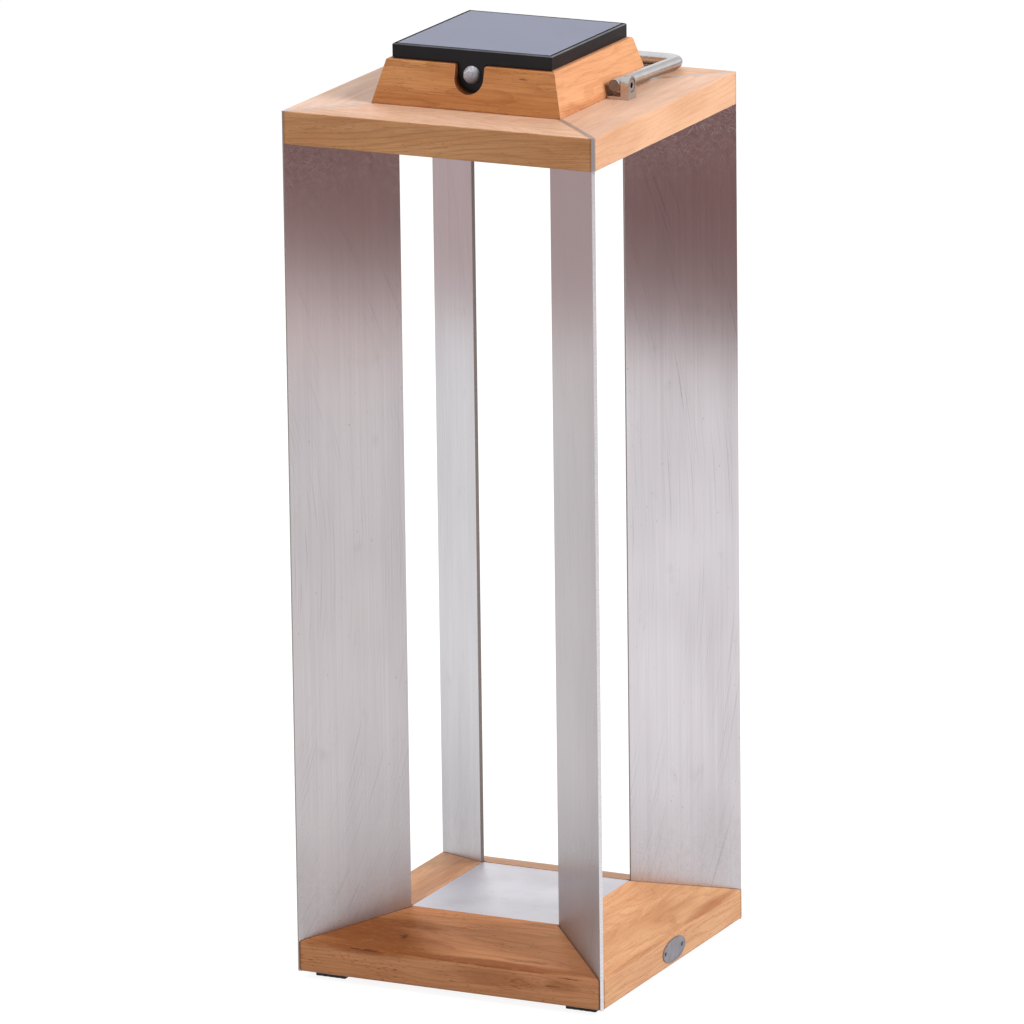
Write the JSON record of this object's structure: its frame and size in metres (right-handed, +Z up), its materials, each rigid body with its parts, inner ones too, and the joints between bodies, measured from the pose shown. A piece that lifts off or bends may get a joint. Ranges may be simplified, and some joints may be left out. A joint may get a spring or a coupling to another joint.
{
  "type": "solar garden lantern",
  "caption": "Tall square open lantern of teak frames and diagonal metal corner plates, with a hood that holds a solar lamp with a motion sensor, and a folding bail handle.",
  "frame": {"origin": "middle of the lantern on the surface that its four pads stand on", "axes": "+Z up; the front with the motion sensor faces -Y, the oval plate +X, and the folded bail lies at +Y"},
  "size_m": [0.2416, 0.24, 0.6725],
  "materials": {
    "teak": "oiled, fine straight grain",
    "beech": "plain turned",
    "brushed_aluminium": "brushed along its length",
    "badge_metal": "dull grey",
    "stainless": "satin polished",
    "zinc": "plated",
    "pad_rubber": "matt black",
    "case_plastic": "fine matt black",
    "button_plastic": "matt grey",
    "panel_glass": "smooth",
    "silicon": "dark blue",
    "circuit": "green lacquer",
    "light_board": "white lacquer",
    "lamp": "yellow phosphor",
    "milky_plastic": "milky",
    "lens_plastic": "milky, finely faceted",
    "plated_can": "plated",
    "cell_wrap": "shrink wrap",
    "holder_plastic": "matt black",
    "lead_plastic": "red and black insulation"
  },
  "bodies": {
    "lantern": {"base_board_front": "teak", "base_board_right": "teak", "base_board_back": "teak", "base_board_left": "teak", "top_board_front": "teak", "top_board_right": "teak", "top_board_back": "teak", "top_board_left": "teak", "hood_front": "teak", "hood_right": "teak", "hood_back": "teak", "hood_left": "teak", "base_dowels": "beech", "top_dowels": "beech", "corner_plate_front_left": "brushed_aluminium", "corner_plate_front_right": "brushed_aluminium", "corner_plate_back_right": "brushed_aluminium", "corner_plate_back_left": "brushed_aluminium", "floor_plate": "brushed_aluminium", "badge_plate": "badge_metal", "badge_nails": "badge_metal", "handle_bracket_left": "stainless", "handle_bracket_right": "stainless", "pivot_screw_left": "stainless", "pivot_screw_right": "stainless", "bracket_screws": "stainless", "hood_screws": "zinc", "foot_pads": "pad_rubber"},
    "handle": {"bail_handle": "stainless"},
    "solar_module": {"module_case": "case_plastic", "cell_backing": "circuit", "solar_glass": "panel_glass", "solar_cells": "silicon", "pir_lens": "lens_plastic", "pir_sensor": "plated_can", "sensor_board": "circuit", "battery_cells": "cell_wrap", "battery_holders": "holder_plastic", "main_board": "circuit", "board_screws": "zinc", "panel_leads": "lead_plastic", "board_pins": "plated_can", "led_board": "light_board", "leds": "lamp", "diffuser": "milky_plastic", "case_gasket": "pad_rubber", "module_cover": "case_plastic", "cover_screws": "zinc", "mode_switch": "case_plastic"},
    "mode_button": {"mode_button": "button_plastic", "switch_plunger": "button_plastic"}
  },
  "joints": [
    {"name": "handle_swing", "type": "hinge", "parent": "lantern", "child": "handle", "pos_m": [0, 0.008, 0.6406], "axis": [1, 0, 0], "range_deg": [0, 184.6]},
    {"name": "module_lift", "type": "slide", "parent": "lantern", "child": "solar_module", "axis": [0, 0, 1], "range_m": [0, 0.04]},
    {"name": "button_press", "type": "slide", "parent": "solar_module", "child": "mode_button", "axis": [0, 0, 1], "range_m": [0, 0.0012], "stiffness_N_per_m": 500}
  ]
}
